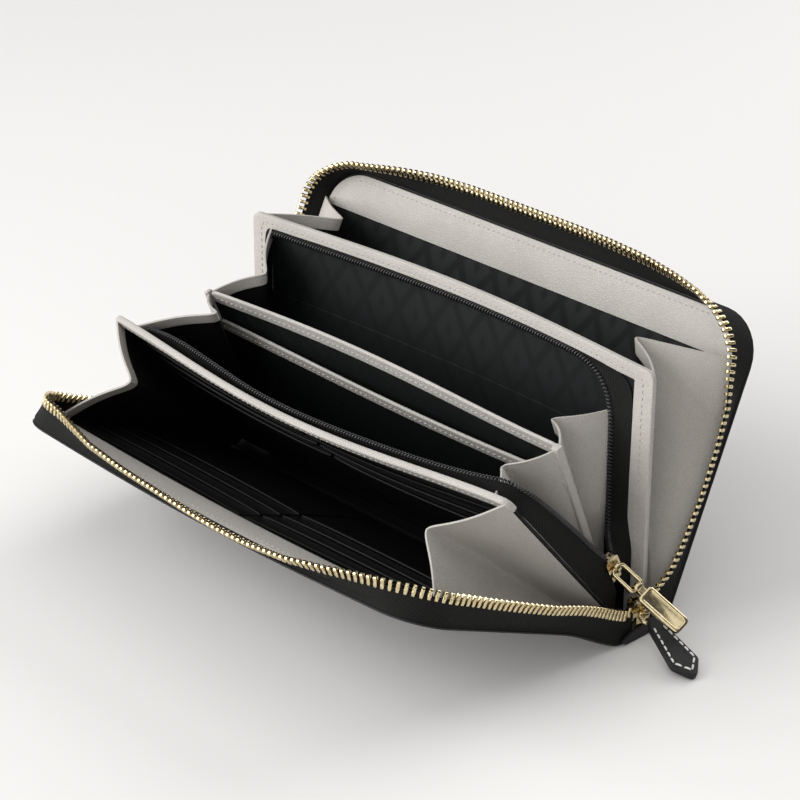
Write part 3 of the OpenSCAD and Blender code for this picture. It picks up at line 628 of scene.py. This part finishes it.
panel = divider_panel("divider_3_lining", third, -0.5 * mm, 0.5 * mm, divider_half, divider_top)
rim_frame = stack("divider_3_leather_frame",
                  [frame_grid(i - 0.35 * mm, i, o) for i, o in rounded(-0.8, 1.15, 0.45) * mm],
                  grey_leather)
pocket = leaf_piece("divider_3_front_pocket", third, lining_cloth, rounded(0.5, 0.95, 0.18) * mm,
                    85.9 * mm, 61 * mm, 1 * mm, 9 * mm)
x, up = rim(90 * mm, divider_top - 2.2 * mm, 1.6 * mm, 6 * mm, 30, 10, 60)
thread = stitches("divider_3_stitches", [bent(third, x, 1.12 * mm, up)], [inner_normal(third)],
                  grey_thread, size=0.22 * mm)
fix(panel, "black_cloth", "divider_3", "divider_3_panel")
fix(rim_frame, "grey_leather", "divider_3", "divider_3_frame")
fix(pocket, "black_cloth", "divider_3", "divider_3_pocket")
fix(thread, "grey_leather", "divider_3")


# ---- Gussets ----
# Each gusset is one sheet of grey leather, folded in once between two leaves. Its inside
# is lined with plain cloth, under a turned edge along its top.
plain_cloth = cloth("plain_cloth", (0.002, 0.002, 0.002), (0.0055, 0.006, 0.006), 0.6 * mm,
                    0.03 * mm, 0.65)


def normals(grid):
    """Unit normals of a grid of points: the cross product of its two slopes."""
    n = np.cross(np.gradient(grid, axis=0), np.gradient(grid, axis=1))
    return n / np.maximum(np.linalg.norm(n, axis=-1, keepdims=True), 1e-12)


def gusset(name, a, b, crease, side):
    """A gusset between joins a and b: (leaf, offset, half length, bulge, side of the leaf,
    top). The bulge widens the join halfway up. Across it the sheet dips in to the fold
    along a rounded V. crease gives the fold's top: its half length, its height and its
    lift off the plane midway between the leaves."""
    foot, fold_r = 2.5 * mm, 0.1
    drop = np.array([5, 4.6, 4.2, 2.8, 1.4, 0.5, 0]) * mm
    t = np.linspace(-1, 1, 37)
    top = np.interp(t, (-1, 0, 1), (a[5], crease[1], b[5]))
    r = np.concatenate([np.linspace(foot + 0 * top, top - 6 * mm, 18), top - drop[:, None]])
    t = t[None]
    ends = []
    for place, off, half, bulge, face, high in (a, b):
        wide = half - 0.5 * mm + bulge * np.sin(np.pi * np.clip(r / high, 0, 1))
        ends.append(bent(place, side * wide, face * (off + 0.35 * mm), r))
    midway = [(a[0][k] + b[0][k]) / 2 for k in range(3)] + [1]
    join_x = (a[2] + b[2]) / 2 - 0.5 * mm
    fold_x = join_x + (crease[0] - join_x) * r / crease[1]
    fold = on_leaf(midway, side * fold_x, crease[2] * smooth(r / crease[1]), r)
    near = (np.sqrt(t ** 2 + fold_r ** 2) - fold_r) / (math.sqrt(1 + fold_r ** 2) - fold_r)
    share = np.abs(t)
    end = np.where(t[..., None] < 0, ends[0], ends[1])
    grid = fold + share[..., None] * (end - fold)
    grid[..., 0] = fold[..., 0] + near * (end[..., 0] - fold[..., 0])
    belly = 1.6 * mm * np.sin(np.pi * share) * np.clip(r / top, 0, 1)
    out = normals(grid)
    out *= np.sign(side * out[..., :1] + 1e-9)
    grid = grid + out * belly[..., None]
    edge = np.clip((r - top + 5 * mm) / (0.4 * mm), 0, 1)
    inside = -((0.45 + 0.25 * edge) * mm)[..., None] * out
    cut = np.stack([np.broadcast_to(t * 20 * mm, r.shape), r], -1)
    layers = [grid + inside, grid + inside * 0.4 + [0, 0, 0.12 * mm], grid]
    piece = stack(name, layers, grey_leather, cut)
    piece.data.materials.append(plain_cloth)
    rows, cols = grid.shape[0] - 1, grid.shape[1] - 1
    low = np.arange(rows) < 19
    rim_mark = np.r_[np.ones(cols), low, np.zeros(cols), low[::-1]]
    mark = np.r_[low.repeat(cols), rim_mark, np.zeros(rows * cols), rim_mark]
    piece.data.polygons.foreach_set("material_index", mark.astype(np.int32))
    return piece


def join(place, off, half, side, top, bulge=0):
    """Where a gusset's edge is sewn to a leaf, from sizes in mm."""
    return place, off * mm, half * mm, bulge * mm, side, top * mm


front_join, rear_join = join(front, 0.9, 92.9, 1, 88), join(rear, 2.9, 96.9, 1, 88, bulge=1.3)
first_out, first_in = join(first, 0.35, 94, -1, 88.4), join(first, 0.3, 87, 1, 86)
middle_front, middle_back = join(middle, 0.8, 83.6, -1, 75.5), join(middle, 0.7, 83.6, 1, 75.5)
third_in, third_out = join(third, 0.6, 86.1, 1, 85), join(third, 0.35, 94, -1, 88)
third_near = join(third, 0.3, 77.2, 1, 70.5)
for number, a, b, left, right, body, turn_share in (
    (1, front_join, first_out, (69.5, 88, 4.5), (74, 88, 4.5), "front_cover", 0.42),
    (2, first_in, middle_front, (63, 84, 2.6), (71.6, 74.4, 0), "divider_1", 0.494),
    (3, middle_back, third_in, (71.5, 78, 0), (65.4, 69.4, 0), "divider_2", 0.9),
    (4, rear_join, third_out, (73.4, 88, 0), (67.6, 88, 0), "back_cover", 1.0),
):
    # A point 50 mm up each join is worked out, the first moved a third of the way in beside a cover, and a stop
    # from the other leaf's share of the turn; nothing uses them.
    start, far = (on_leaf(end[0], 0, end[4] * end[1], 50 * mm) for end in (a, b))
    if number in (1, 4):
        start = start + 0.35 * (far - start)
    stop = start + (far - start) / turn_share
    for side, word, crease in ((-1, "left", left), (1, "right", right)):
        other = third_near if number == 3 and side > 0 else b
        piece = gusset(f"gusset_{number}_{word}_leather", a, other, np.array(crease) * mm, side)
        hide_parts(f"gusset_{number}_{word}")
        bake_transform(piece)


# ---- Outer zip ----
# Woven tapes stand square off the covers along their rims, and lean outwards along the long
# edge. Plated teeth, stamped from wire, are crimped on their free edges at an even pitch.
gold = speckled("gold_plate", (0.50, 0.40, 0.22), (0.84, 0.73, 0.48), 700, 4, 0.01 * mm,
                rough=(0.12, 0.3), Metallic=1.0, Roughness=0.2)

tape_weave, tree, shader = surface("tape_weave", Roughness=0.8, IOR=1.3)
parts = add(tree, "SeparateXYZ", {0: add(tree, "UVMap", uv_map="cut").outputs["UV"]}).outputs
zig = add(tree, "Math", {0: parts[1], 1: 4.4 * mm}, operation="PINGPONG")
rib = add(tree, "Math", {0: parts[0], 1: zig.outputs[0]})
rib = add(tree, "Math", {0: rib.outputs[0], 1: 2 * math.pi / (1.1 * mm)}, operation="MULTIPLY")
rib = add(tree, "Math", {0: rib.outputs[0]}, operation="SINE")
rib = add(tree, "MapRange", {"Value": rib.outputs[0], "From Min": -1})
tint(tree, shader, rib.outputs[0], (0.0015, 0.0015, 0.0016), (0.0115, 0.0112, 0.0105))
relief(tree, shader, rib.outputs[0], 0.12 * mm)


def zip_lines(place, leans, runs_on):
    """The foot, the root and the free edge of a cover's tape, as points in step from its
    left end to its right end. leans gives how far the tape leans out, in degrees, at
    distances along the rim in mm. The free edge closes in on the slider at its ends, and
    the tape that runs on goes past the fold and down to the slider."""
    half, top, r = 96.9 * mm, 101.4 * mm, 15.4 * mm
    x, up = rim(half, top, r, 1 * mm, 60, 26, 130)
    turn = np.linspace(0, np.pi / 2, 26)[1:-1]
    sweep = np.r_[np.zeros(60), turn, np.full(130, np.pi / 2), np.pi - turn[::-1], np.full(60, np.pi)]
    run = run_along(np.stack([x, up], 1))
    lean = np.radians(np.interp(run, *np.array(leans, float).T * [[mm], [1]]))
    low, root = bent(place, x, -0.15 * mm, up), bent(place, x, 1.25 * mm, up)
    way = (-np.cos(sweep) * np.sin(lean), np.cos(lean), np.sin(sweep) * np.sin(lean))
    free = root + 7.6 * mm * (on_leaf(place, *way) - on_leaf(place, 0, 0, 0))
    if runs_on:
        steps = np.linspace(0, 1, 7)[1:, None]
        lines = []
        for line, end in zip((low, root, free), ((96.4, -7.2, 1.5), (96.4, -6.5, 2.6), (97.1, -3.3, 12.3))):
            left, right = (line[k] + (np.array(end) * [side, 1, 1] * mm - line[k]) * steps
                           for k, side in ((0, -1), (-1, 1)))
            lines.append(np.concatenate([left[::-1], line, right]))
        return lines
    keep = up > 4.5 * mm
    low, root, free, up = low[keep], root[keep], free[keep], up[keep]
    goal = np.stack([np.sign(free[:, 0]) * 97.1 * mm, np.full(len(up), 0.2 * mm),
                     np.full(len(up), 13.7 * mm)], 1)
    return low, root, free + (goal - free) * smooth((18 * mm - up) / (13 * mm))[:, None]


def tape(name, root, free, thick, low=None):
    """A woven tape between two lines, a little thicker at its free edge. With a low line it
    first stands up from that to the root. Its cut sheet has the run along it and the way
    across it."""
    grid = root + (free - root) * np.linspace(0, 1, 7)[:, None, None]
    half = thick / 2 * np.array([1, 1, 1, 1, 1, 1.25, 1.5])
    if low is not None:
        grid, half = np.concatenate([[low, (low + root) / 2], grid]), np.r_[thick / 2, thick / 2, half]
    out = normals(grid) * half[:, None, None]
    run = run_along(root)
    steps = np.linalg.norm(np.diff(grid, axis=0), axis=2)
    wide = np.cumsum(np.r_[np.zeros((1, len(run))), steps], 0)
    cut = np.stack([np.broadcast_to(run, grid.shape[:2]), wide], -1)
    return stack(name, [grid - out, grid + out], tape_weave, cut)


def teeth(name, root, free, pitch=2.35 * mm):
    """Teeth at an even pitch along the tape's free edge, each square to the tape: two legs,
    a waist and a rounded head in one outline, pulled through its width in four rings."""
    outline = np.array([(-1.15, 0.4), (-1.1, 0.8), (-0.8, 1.0), (0.3, 1.02), (0.6, 0.85),
                        (1.2, 0.8), (1.8, 0.86), (2.3, 0.66), (2.5, 0.3)])
    outline = np.concatenate([outline, outline[::-1] * [1, -1]]) * mm
    centre = outline.mean(0)
    run = run_along(free)
    at = np.arange(0.8 * mm, run[-1] - 0.8 * mm, pitch)
    edge = points_at(free, run, at)
    way = unit(edge - points_at(root, run, at))
    row = points_at(free, run, at + 0.5 * mm) - edge
    row = unit(row - (row * way).sum(1)[:, None] * way)
    across = np.cross(way, row)
    rings = []
    for shift, size in ((-0.6, 0.8), (-0.45, 1), (0.45, 1), (0.6, 0.8)):
        shape = centre + (outline - centre) * size
        rings.append(edge[:, None] + way[:, None] * shape[None, :, :1]
                     + across[:, None] * shape[None, :, 1:] + row[:, None] * shift * mm)
    points, size = np.stack(rings, 1).reshape(-1, 3), 4 * len(outline)
    faces = tube_faces(4, len(outline))
    if volume(points[:size], faces) < 0:
        faces = [face[::-1] for face in faces]
    return mesh_piece(name, points, repeated(faces, size, len(at)), gold, sharp=50)


front_leans = [(0, 0), (30, -12), (60, -26), (85, -30), (95, -24), (103, -6), (110, 17),
               (118, 25), (126, 37), (140, 57), (158, 67), (175, 72), (192, 78), (207, 82),
               (221, 82), (238, 75), (255, 57), (272, 33), (280, 17), (288, 10), (297, 11),
               (310, 20), (325, 26), (340, 29), (358, 22), (382, 0)]
back_leans = [(0, 0), (45, 30), (85, 36), (97, 12), (103, 9), (110, 15), (118, 26), (126, 38),
              (140, 57), (158, 67), (207, 65), (221, 60), (238, 51), (255, 34), (265, 20),
              (272, 2), (280, -13), (288, -14), (297, -2), (310, 21), (325, 28), (340, 29),
              (358, 22), (382, 0)]
for (body, place, name), leans, end in zip(covers, (front_leans, back_leans), ((-3, 8), (2, 7))):
    low, root, free = zip_lines(place, leans, name == "front")
    band = tape(f"{name}_tape", root, free, 0.5 * mm, low)
    row = teeth(f"{name}_teeth", root, free)
    for piece, colour, node in ((band, "zip_tape", "zip_tape"), (row, "gold_metal", "zip_teeth")):
        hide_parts(f"{name}_{node}")
        on_leaf(place, 0, 0, 14 * mm).tolist()
        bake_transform(piece)


# ---- Inner zip ----
# Nylon coils on narrow tapes close the middle compartment. Each runs along a divider, round
# its corner, and swings off the divider down to the slider.
nylon = speckled("nylon_coil", (0.012, 0.012, 0.013), (0.03, 0.03, 0.032), 1500, 2, 0.01 * mm,
                 Roughness=0.32, IOR=1.53)
slider_at = np.array(folds["zip_bail"]["pos_m"]) - [2.45 * mm, 0, 0]
slider_lean = math.radians(24)
slider_up = np.array([0, -math.sin(slider_lean), math.cos(slider_lean)])


def inner_lines(place, points):
    """The root and the free edge of a divider's inner tape, from its left end to the
    slider. Each point gives x, off and up for both, in mm, and the corners between the
    points are cut three times, so that the lines run smoothly."""
    points = np.array(points, float) * mm
    root = bent(place, *points[:, :3].T)
    beside = np.array([0, -place[3] * 1.9 * mm, 0.3 * mm])
    ends = [slider_at + k * mm * slider_up + beside for k in (3.8, -4, -12)]
    free = np.concatenate([bent(place, *points[:-3, 3:].T), ends])
    lines = []
    for line in (root, free):
        for _ in range(3):
            step = np.diff(line, axis=0)
            cuts = np.stack([line[:-1] + step / 4, line[:-1] + step * 3 / 4], 1).reshape(-1, 3)
            line = np.concatenate([line[:1], cuts, line[-1:]])
        lines.append(line)
    return lines


def coil(name, line, away, pitch=1.25 * mm, radius=0.75 * mm, wire=0.34 * mm, flat=0.75):
    """A coil wound along a line: a wire whose centre circles the line, squashed a little
    across the direction away, which points off the divider's face."""
    run = run_along(line)
    at = np.linspace(0, run[-1], int(run[-1] / pitch * 14))
    centre = points_at(line, run, at)
    along = unit(np.gradient(centre, axis=0))
    side = unit(np.cross(along, away))
    angle = (2 * np.pi * at / pitch)[:, None]
    path = centre + radius * (np.cos(angle) * side + flat * np.sin(angle) * np.cross(side, along))
    way = unit(np.gradient(path, axis=0))
    out = path - centre
    out = unit(out - (out * way).sum(1)[:, None] * way)
    turn = (np.arange(5) * 2 * np.pi / 5)[None, :, None]
    points = path[:, None] + wire * (np.cos(turn) * out[:, None]
                                     + np.sin(turn) * np.cross(way, out)[:, None])
    return mesh_piece(name, points.reshape(-1, 3), tube_faces(len(at), 5), nylon, sharp=80)


first_zip = [
    (-80, 1.3, 81.5, -80, 2.2, 85.7), (-66, 1.3, 81.5, -66, 4.2, 86), (-45, 1.3, 81.5, -45, 3.7, 86),
    (-20, 1.3, 81.5, -20, 2.3, 86), (5, 1.3, 81.5, 5, 2.7, 86), (30, 1.3, 81.5, 30, 3.1, 86),
    (55, 1.3, 81.5, 55, 3.3, 86), (70, 1.3, 82, 73, 4.3, 86), (78, 1.3, 82, 81, 5.4, 86),
    (86, 1.3, 82, 87, 6.8, 85), (91, 1.3, 80, 90, 7.3, 80.6), (92.3, 1.3, 74, 91.6, 8, 74.4),
    (92.3, 1.3, 65, 91.7, 8.8, 65.7), (92.3, 1.3, 57, 91.7, 9.4, 57.3), (92.3, 1.3, 48, 91.7, 10, 48.2),
    (92.3, 1.3, 38, 91.4, 10.5, 38), (92.2, 1.3, 30, 91, 11.2, 30), (92.1, 1.3, 24, 0, 0, 0),
    (92, 1.3, 16, 0, 0, 0), (92, 1.3, 8, 0, 0, 0),
]
third_zip = [
    (-88.9, 0.9, 70, -86.3, 1.3, 70), (-88.9, 0.9, 80, -86.3, 1.3, 79), (-88.2, 0.9, 84.6, -84.5, 1.3, 83),
    (-84, 0.95, 85.2, -82, 1.3, 83.8), (-70, 0.95, 85.2, -70, 1.3, 83.6), (-40, 0.95, 85.2, -40, 1.3, 83.8),
    (0, 0.95, 85.2, 0, 1.3, 84.4), (30, 0.95, 85.2, 30, 1.3, 84.4), (50, 0.95, 85.2, 50, 1.3, 84.4),
    (64, 0.95, 85.2, 62, 1.3, 84.2), (78, 0.95, 85, 70.5, 1.2, 81.5), (85, 0.95, 82, 75.5, 1.1, 75.5),
    (86.5, 0.95, 72, 77.5, 1, 68), (86.5, 0.95, 60, 77.8, 1, 58), (86.5, 0.95, 45, 78.2, 1, 45),
    (86.6, 0.95, 36, 79, 1.4, 35), (87.4, 0.95, 31, 81, 4, 31), (88.2, 0.95, 27, 85.5, 8.5, 29.5),
    (88.6, 0.95, 24, 0, 0, 0), (88.6, 0.95, 16, 0, 0, 0), (88.6, 0.95, 8, 0, 0, 0),
]
# A tape's near part keeps to its own leaf, and its far part bends over to the slider's side.
# bodies names the two bodies a tape's parts would go with (for divider 3, which hardly turns, the spine first),
# and way the two ends of a blend between them, off and up from the leaf's fold in mm; neither is used.
for body, place, points, bodies, way in (
    ("divider_1", first, first_zip, ("divider_1", "spine"), ((5, 40), (23.7, 35.1))),
    ("divider_3", third, third_zip, ("spine", "divider_2"), ((3, 30), (11.4, 30))),
):
    root, free = inner_lines(place, points)
    band = tape(f"{body}_inner_tape", root, free, 0.35 * mm)
    away = inner_normal(place)
    row = coil(f"{body}_inner_coil", free[free[:, 2] > slider_at[2] + 3 * mm] + away * 0.5 * mm, away)
    start, stop = (on_leaf(place, 0, off * mm, up * mm).tolist() for off, up in way)
    for piece, colour, node in ((band, "zip_tape", "zip_tape"), (row, "coil", "zip_coil")):
        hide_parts(f"{body}_{node}")
        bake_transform(piece)


# ---- Cast hardware and spine lining ----
# The sliders, stops, ring and bail are plated castings and wire, as their solids have them,
# and take the gold finish. The strip inside the spine is plain cloth.
for name in ("outer_slider", "outer_zip_stop", "inner_slider", "inner_zip_stop", "tab_ring",
             "inner_bail", "spine_lining"):
    frame["nodes"][name].data.materials.clear()
    frame["nodes"][name].data.materials.append(plain_cloth if name == "spine_lining" else gold)


# ---- Pull tab ----
# The tab is two layers of black leather that hold the outer slider's ring. They are sewn
# together near their edge in white thread, and shaved round.
def pull(body, yaw, roll, pitch):
    """A function for the points of a pull, and the direction out of it. Its points are u
    from the hinge along it, v across it and w out of it, in mm. The pull turns by yaw about
    the upright, rolls about X and then drops by pitch, in degrees."""
    hinge = np.array(folds[body]["pos_m"])
    turn = Matrix.Rotation(math.radians(yaw), 3, "Z") @ Matrix.Rotation(math.radians(roll), 3, "X")
    along, across, out = np.array(turn @ Matrix.Rotation(math.radians(pitch), 3, "Y")).T

    def point(u, v, w):
        u, v, w = (np.asarray(k, float)[..., None] * mm for k in np.broadcast_arrays(u, v, w))
        return hinge + u * along + v * across + w * out
    return point, out


tab_point, tab_out = pull("pull_tab", -14, 0, 17.97)
layers = []
for inset, off in rounded(-1.2, 1.2, 0.55):
    u = np.r_[2.9, 4, 5, 6.6, np.linspace(8, 23.5, 14), 24.5, 26, 27.5, 28.8, 29.5]
    u = 2.9 + inset + (u - 2.9) * (26.6 - 2 * inset) / 26.6
    half = np.interp(u, (2.8, 5, 6.6, 23, 24, 28.6, 29.2, 29.5), (1.6, 1.7, 2.86, 5.2, 5.1, 1.7, 1, 0.4))
    half = np.maximum(half - inset * 0.8, 0.1)
    layers.append(tab_point(u[:, None], half[:, None] * np.linspace(-1, 1, 13), off))
tab = stack("pull_tab_leather", layers, black_leather)
white_thread = thread_material("white_thread", (0.62, 0.61, 0.58), (0.85, 0.84, 0.81))
seam = np.array([(7.5, 1.75), (23, 3.95), (27.6, 0), (23, -3.95), (7.5, -1.75)])
seam_legs = [tab_point(*seam[k:k + 2].T, 1.2) for k in range(4)]
thread = stitches("pull_tab_stitches", seam_legs, [tab_out] * 4, white_thread, pitch=2.65 * mm,
                  size=0.36 * mm, gap=0.2)
fix(tab, "black_leather", "pull_tab", "tab_front_leather", "tab_back_leather")
fix(thread, "black_leather", "pull_tab")


# ---- Inner zip plate ----
# The inner slider's plate is cast with a raised rim round a sunk, bare field, and with
# rounded far corners. A knuckle on a short tongue wraps the bail.
plate_point, _ = pull("zip_plate", 0, 24, 35)
outline = []
for u, v, r, start in ((19.4, 3.3, 1.7, 0), (2.6, 3.3, 1, 90), (2.6, -3.3, 1, 180), (19.4, -3.3, 1.7, 270)):
    turn = np.radians(np.linspace(start, start + 90, 7))
    u, v = u - math.copysign(r, u - 10), v - math.copysign(r, v)
    outline += list(np.stack([u + r * np.cos(turn), v + r * np.sin(turn)], 1))
centre = np.array([11, 0])
plate_rings = []
for inset, off in ((0.45, -0.95), (0.1, -0.8), (0, -0.5), (0, 0.5), (0.1, 0.8), (0.4, 0.98), (1, 0.98),
                   (1.2, 0.85), (1.3, 0.55), (1.5, 0.48)):
    ring = centre + (np.array(outline) - centre) * (1 - inset / np.array([8.4, 3.3]))
    plate_rings.append(plate_point(*ring.T, off))
turn = np.linspace(0, 2 * np.pi, 25)[:-1]
knuckle_rings = [plate_point(r * np.cos(turn), v, r * np.sin(turn)) for v, r in (
    (-1.35, 1.2), (-1.4, 1.45), (-1.3, 1.52), (1.3, 1.52), (1.4, 1.45), (1.35, 1.2))]
plate, knuckle = (
    mesh_piece(name, np.concatenate(rings), tube_faces(len(rings), len(rings[0])), gold, sharp=35)
    for name, rings in (("inner_zip_plate", plate_rings), ("inner_zip_knuckle", knuckle_rings)))
layers = []
for inset, off in rounded(-0.7, 0.7, 0.2):
    u, v = np.meshgrid(np.linspace(1, 3.6, 5), np.linspace(-1.4 + inset, 1.4 - inset, 5), indexing="ij")
    layers.append(plate_point(u, v, off))
tongue = stack("inner_zip_tongue", layers, gold)
fix(plate, "gold_metal", "zip_plate", "inner_pull_plate")
fix(knuckle, "gold_metal", "zip_plate")
fix(tongue, "gold_metal", "zip_plate")


# ---- Studio ----
# A pale table top, and four soft square lamps: a strong key on the left, and weak ones on
# the right, above and behind. A long lens looks down from the wallet's right end and front,
# with its axis a little to the right of the origin and above it.
floor_mesh = bpy.data.meshes.new("floor")
floor_mesh.from_pydata([(-4, -4, 0), (4, -4, 0), (4, 4, 0), (-4, 4, 0)], [], [(0, 1, 2, 3)])
floor = bpy.data.objects.new("floor", floor_mesh)
bpy.context.scene.collection.objects.link(floor)
floor_mesh.materials.append(surface("pale_floor", Base_Color=(0.79, 0.775, 0.76, 1), Roughness=0.9)[0])

world = bpy.data.worlds.new("studio")
world.use_nodes = True
world.node_tree.nodes["Background"].inputs["Color"].default_value = (1, 1, 1, 1)
world.node_tree.nodes["Background"].inputs["Strength"].default_value = 0.08
bpy.context.scene.world = world
for name, place, size, power in (("key", (-1.05, -1.5, 0.9), 1.8, 54.0), ("fill", (0.7, -0.9, 0.6), 1.2, 5.5),
                                 ("top", (0.0, -0.1, 1.4), 1.6, 8.2), ("back", (0.1, 1.2, 0.8), 1.2, 11.5)):
    lamp = bpy.data.lights.new(name, "AREA")
    lamp.size, lamp.energy = size, power
    made = bpy.data.objects.new(name, lamp)
    made.location = place
    made.rotation_euler = Vector(place).to_track_quat("Z", "Y").to_euler()
    bpy.context.scene.collection.objects.link(made)
bpy.context.scene.view_settings.view_transform = "Standard"

azimuth, elevation = math.radians(45.95), math.radians(26.23)
back = Vector((
    math.sin(azimuth) * math.cos(elevation),
    -math.cos(azimuth) * math.cos(elevation),
    math.sin(elevation),
))
right = Vector((math.cos(azimuth), math.sin(azimuth), 0))
camera = bpy.data.objects.new("camera", bpy.data.cameras.new("camera"))
camera.data.sensor_width = 36
camera.data.lens = 116.81
camera.data.clip_start = 0.01
camera.location = back * 0.90587 + right * -0.01098 + back.cross(right) * 0.04528
camera.rotation_euler = back.to_track_quat("Z", "Y").to_euler()
bpy.context.scene.collection.objects.link(camera)
bpy.context.scene.camera = camera
